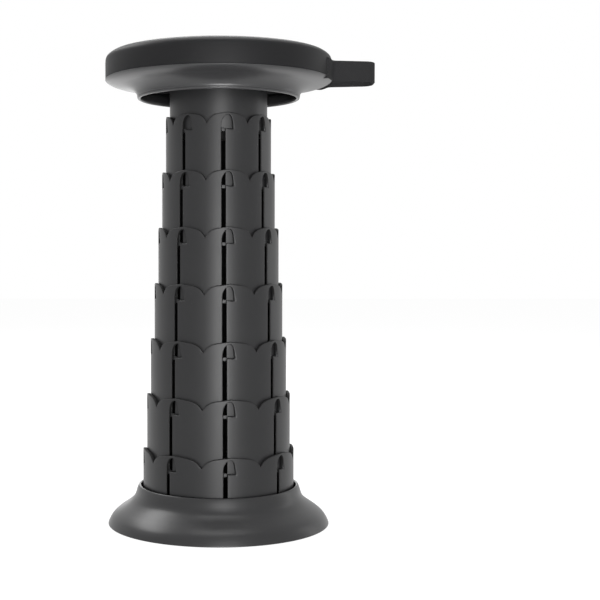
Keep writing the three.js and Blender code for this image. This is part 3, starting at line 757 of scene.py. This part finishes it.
def strap_route():
    """The strap's middle line in plan, from one pin round the loop to the other: arcs that touch. Also the
    length along it at each point."""
    rim_gap, eye, entry_round = 0.3, 3.1, 2.0
    corner_round, root_round, half_loop, half_root = 11.0, 6.0, 16.7, 20.5
    points, wrap = 420, 200
    line_radius = SEAT_SIDE + rim_gap + STRAP_THICKNESS / 2
    loop_end = node_box("carry_strap")[1][0] - STRAP_DRAW_IN - STRAP_THICKNESS / 2
    corner = [loop_end - corner_round, half_loop - corner_round]
    root_y = half_root + root_round
    root_x = math.sqrt((line_radius + root_round) ** 2 - root_y ** 2)
    root_angle = math.degrees(math.atan2(root_y, root_x))
    entry_circle = line_radius - entry_round
    entry_angle = STRAP_SLOT - math.degrees(math.asin(entry_round / entry_circle))
    entry = arc([0, 0], entry_circle, entry_angle, entry_angle, 0)[0]
    pin_low, pin_high = node_box("strap_pin_1")
    pin = ((pin_low + pin_high) / 2)[:2]
    inwards = STRAP_SLOT + 90
    half = np.concatenate([
        arc(corner, corner_round, 0, 90, 16),
        arc([root_x, root_y], root_round, 270, 180 + root_angle, 12),
        arc([0, 0], line_radius, root_angle, entry_angle, 12)[1:-1],
        arc(entry, entry_round, entry_angle, inwards, 8),
        arc(pin, eye, inwards, inwards + wrap, 20),
    ])
    route = np.concatenate([(half * [1, -1])[::-1], half])
    steps = np.linalg.norm(np.diff(route, axis=0), axis=1)
    length = np.concatenate([[0], np.cumsum(steps)])
    even = np.linspace(0, length[-1], points)
    return np.stack([np.interp(even, length, route[:, i]) for i in range(2)], axis=-1), even


def strap():
    """The carry strap: a flat section with round selvedges carried along its route, with end faces."""
    selvedge = 0.75
    aside, middle = STRAP_THICKNESS / 2, strap_height()
    bottom, top = middle - STRAP_WIDTH / 2, middle + STRAP_WIDTH / 2
    section = rounded([
        [-aside, bottom, selvedge], [aside, bottom, selvedge], [aside, top, selvedge],
        [-aside, top, selvedge],
    ], steps=6)
    route, length = strap_route()
    ahead = np.gradient(route, axis=0)
    ahead /= np.linalg.norm(ahead, axis=1)[:, None]
    across = np.stack([-ahead[:, 1], ahead[:, 0]], axis=-1)
    plan = route[:, None] + across[:, None] * section[None, :, :1]
    heights = np.broadcast_to(section[None, :, 1:], plan.shape[:2] + (1,))
    grid = np.concatenate([plan, heights], axis=-1)
    flat = grid * [1, 1, 0] + [0, 0, middle]
    caps = [end.mean(axis=1, keepdims=True) + 0 * end for end in (flat[:1], flat[-1:])]
    grid = np.concatenate([caps[0], grid, caps[1]])
    along = np.concatenate([length[:1], length, length[-1:]])[:, None] + 0 * grid[..., 0]
    piece = surface("strap", [grid], attribute="along", values=along)
    return dress(piece, STRAP_NYLON, "seat", "carry_strap")


def base():
    """The flared base: an upright lip, a hollow flare, a round shoulder and a foot, with the sleeve inside
    that holds the widest tube."""
    low, high = node_box("base_shell")
    top, foot = high[2], low[2]
    flare = flowing([
        [77.4, top - 1.4], [78.2, top - 3.4], [79.0, top - 6.0], [79.8, top - 8.6], [81.0, top - 11.2],
        [83.1, top - 14.0], [86.9, top - 17.2], [92.1, top - 20.8], [97.2, top - 24.4],
        [101.2, top - 28.0], [103.7, top - 31.4], [105.4, top - 34.6], [106.2, top - 36.6],
    ])
    inside = flowing([
        [103.4, foot + 3.2], [100.2, foot + 7.0], [96.0, foot + 10.5], [89.2, foot + 15.2],
        [79.6, foot + 21.2],
    ])
    rest = rounded([
        [106.2, foot + 0.3, 0], [105.9, foot, 0.2], [103.4, foot, 0.3], [103.4, foot + 3.2, 0],
    ], closed=False)
    sleeve = rounded([
        [76.3, foot + 27.0, 1.0], [76.3, 7.5, 0.3], [72.8, 7.5, 0.3], [72.8, 9.5, 0.3], [74.5, 9.5, 0.6],
        [74.5, top, 1.0], [76.6, top, 1.2], [77.4, top - 1.4, 0],
    ], closed=False)
    piece = surface("base", [turned(np.concatenate([flare, rest, inside, sleeve]))])
    return dress(piece, BASE_PLASTIC, "base", "base_shell")


def underside():
    """The base's plate with its locating ring, low ridges and screw pockets."""
    low, high = node_box("base_plate")
    thickness, pocket_radius, pocket_depth = 2.5, 3.9, 1.55
    radius, bottom, top, ring_top = high[0], low[2], low[2] + thickness, high[2]
    ridge = [[0, 0], [0.6, 0.5], [2.4, 0.5], [3.0, 0]]
    ridges = [[start + out, bottom + up, 0.15] for start in (44, 52, 60, 68) for out, up in ridge]
    profile = rounded([
        [0, bottom, 0], *ridges, [radius, bottom, 0.5], [radius, top, 0.3], [75.0, top, 0.3],
        [75.0, ring_top, 0.3], [72.8, ring_top, 0.3], [72.8, top, 0.3], [0, top, 0],
    ], closed=False, steps=3)
    piece = surface("bottom_plate", [turned(profile)])
    screws = [node_box(f"base_screw_{number}") for number in range(1, SCREWS + 1)]
    middles = [(screw[0] + screw[1])[:2] / 2 for screw in screws]
    pocket = drum(pocket_radius, bottom - 1, bottom + pocket_depth)
    cut(piece, [pocket + np.append(middle, 0) for middle in middles])
    return dress(piece, PLATE_PLASTIC, "base", "base_plate")


def base_screws():
    """Pan-head screws with a cross recess and a rolled thread."""
    head_radius, head_height, shank_radius = 3.6, 2.0, 1.5
    threads, thread_pitch, thread_depth, thread_start = 14, 0.75, 0.3, 2.6
    recess_length, recess_width, recess_height = 3.6, 0.8, 2.4
    for number in range(1, SCREWS + 1):
        low, high = node_box(f"base_screw_{number}")
        place = [(low[0] + high[0]) / 2, (low[1] + high[1]) / 2, 0]
        bottom, tip = low[2], high[2]
        thread = np.arange(threads)
        shank = np.stack([
            shank_radius - thread_depth * (thread % 2), bottom + thread_start + thread * thread_pitch,
        ], axis=-1)
        head = rounded([
            [0, bottom, 0], [3.4, bottom + 0.15, 1.2], [head_radius, bottom + head_height, 0.2],
            [shank_radius, bottom + head_height, 0],
        ], closed=False)
        profile = np.concatenate([head, shank, [[1.1, tip - 0.6], [0, tip]]])
        piece = surface(f"plate_screw_{number}", [turned(profile, 48) + place])
        for length, width in ((recess_length, recess_width), (recess_width, recess_length)):
            recess = soft_block([length, width, recess_height], [0, 0, bottom], 0, squareness=0.3)
            cut(piece, [recess + place])
        dress(piece, SCREW_STEEL, "base", f"base_screw_{number}")


def rubber_pad(name, radius, grooves, place):
    """A rubber pad with a round edge and fine grooves for grip."""
    low, high = node_box(name)
    bottom, top = low[2], high[2]
    groove = [[-0.5, 0], [-0.25, 0.35], [0.25, 0.35], [0.5, 0]]
    cuts = [[middle + aside, bottom + depth, 0.1] for middle in grooves for aside, depth in groove]
    profile = rounded([
        [0, bottom, 0], *cuts, [radius, bottom, 0.3], [radius, top, 0.2], [0, top, 0],
    ], closed=False, steps=3)
    piece = surface(f"{name}_rubber", [turned(profile, 96) + [*place, 0]])
    dress(piece, RUBBER, "base", name)


def foot_pads():
    """Six small pads near the base's edge and a wide one in its middle, with the radii of their grooves."""
    for number in range(1, FOOT_PADS + 1):
        low, high = node_box(f"foot_pad_{number}")
        rubber_pad(f"foot_pad_{number}", 7.0, (2.2, 4.4), (low + high)[:2] / 2)
    rubber_pad("centre_pad", 20.0, (4, 7.5, 11, 14.5, 18), (0, 0))


seat_plate()
centre_plate()
plugs()
tray()
plain_tube()
strap()
for tube_number in range(1, TUBES + 1):
    scalloped_tube(tube_number)
base()
underside()
base_screws()
foot_pads()

# Steel pieces that no side shows keep the model's own solids
for hidden in [f"seat_screw_{number}" for number in range(1, SCREWS + 1)] + ["strap_pin_1", "strap_pin_2"]:
    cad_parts[hidden].data.materials.clear()
    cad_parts[hidden].data.materials.append(SCREW_STEEL)


def backdrop_rays(tree):
    """1 for the rays that see the white studio itself: from the camera, and on through gloss and glass."""
    path = add(tree, "ShaderNodeLightPath")
    straight = add(tree, "ShaderNodeMath", {"operation": "MAXIMUM"}, i0=path.outputs["Is Camera Ray"],
                   i1=path.outputs["Is Glossy Ray"])
    return add(tree, "ShaderNodeMath", {"operation": "MAXIMUM"}, i0=straight.outputs[0],
               i1=path.outputs["Is Transmission Ray"]).outputs[0]


def studio_floor():
    """A wide pale floor that reads as white and keeps a soft shadow: mostly its own white towards the
    camera and in reflections, and a little lit surface."""
    size, own_share, own_white = 12, 0.8, 1.21
    bpy.ops.mesh.primitive_plane_add(size=size)
    floor = bpy.context.object
    floor.name = "studio_floor"
    material = bpy.data.materials.new("studio_white")
    material.use_nodes = True
    tree = material.node_tree
    tree.nodes.clear()
    share = add(tree, "ShaderNodeMath", {"operation": "MULTIPLY"}, i0=backdrop_rays(tree), i1=own_share)
    lit = add(tree, "ShaderNodeBsdfDiffuse", Color=[0.82, 0.82, 0.82, 1])
    white = add(tree, "ShaderNodeEmission", Color=[1, 1, 1, 1], Strength=own_white)
    mixed = add(tree, "ShaderNodeMixShader", i0=share.outputs[0], i1=lit.outputs[0], i2=white.outputs[0])
    add(tree, "ShaderNodeOutputMaterial", Surface=mixed.outputs[0])
    floor.data.materials.append(material)


def studio_world(level):
    """White behind the object and in its reflections, and a dimmer even light from all round."""
    world = bpy.data.worlds.new("studio")
    bpy.context.scene.world = world
    world.use_nodes = True
    tree = world.node_tree
    tree.nodes.clear()
    strength = add(tree, "ShaderNodeMapRange", Value=backdrop_rays(tree), To_Min=level, To_Max=1.0)
    light = add(tree, "ShaderNodeBackground", Color=[1, 1, 1, 1], Strength=strength.outputs["Result"])
    add(tree, "ShaderNodeOutputWorld", Surface=light.outputs[0])


def softbox(name, azimuth, elevation, distance, width, height, power):
    """A rectangular soft light that faces the stool's middle, with its sizes in metres. Azimuth 0 is the
    front and 90 the strap's side."""
    middle = np.array([0, 0, 0.23])
    a, e = math.radians(azimuth), math.radians(elevation)
    back = np.array([math.sin(a) * math.cos(e), -math.cos(a) * math.cos(e), math.sin(e)])
    data = bpy.data.lights.new(name, "AREA")
    data.shape = "RECTANGLE"
    data.size, data.size_y = width, height
    data.energy = power
    lamp = bpy.data.objects.new(name, data)
    lamp.location = middle + back * distance
    lamp.rotation_mode = "QUATERNION"
    lamp.rotation_quaternion = Vector(back).to_track_quat("Z", "Y")
    bpy.context.scene.collection.objects.link(lamp)


studio_floor()
studio_world(level=0.08)
softbox("front_softbox", azimuth=7, elevation=4, distance=2.0, width=0.95, height=1.8, power=14)
softbox("low_front_softbox", azimuth=5, elevation=-5, distance=1.8, width=0.7, height=0.1, power=20)
softbox("upper_front_softbox", azimuth=10, elevation=35, distance=2.0, width=0.5, height=0.5, power=2.5)
softbox("upper_left_softbox", azimuth=-118, elevation=44, distance=2.0, width=1.4, height=0.6, power=19)
softbox("right_softbox", azimuth=112, elevation=4, distance=2.0, width=0.4, height=1.8, power=4.1)
softbox("back_softbox", azimuth=180, elevation=48, distance=2.0, width=0.9, height=0.7, power=18.7)
softbox("low_back_softbox", azimuth=188, elevation=5, distance=2.0, width=0.8, height=1.8, power=7)
softbox("top_softbox", azimuth=0, elevation=90, distance=2.0, width=1.0, height=1.0, power=19.2)

camera_tilt = 2.13             # degrees down from level
camera_data = bpy.data.cameras.new("camera")
camera_data.sensor_width = 36
camera_data.lens = 71.7
camera_data.shift_x = 0.1358
camera = bpy.data.objects.new("camera", camera_data)
camera.location = (0, -1.150, 0.258)
camera.rotation_euler = (math.radians(90 - camera_tilt), 0, 0)
bpy.context.scene.collection.objects.link(camera)
bpy.context.scene.camera = camera
bpy.context.scene.view_settings.view_transform = "Standard"
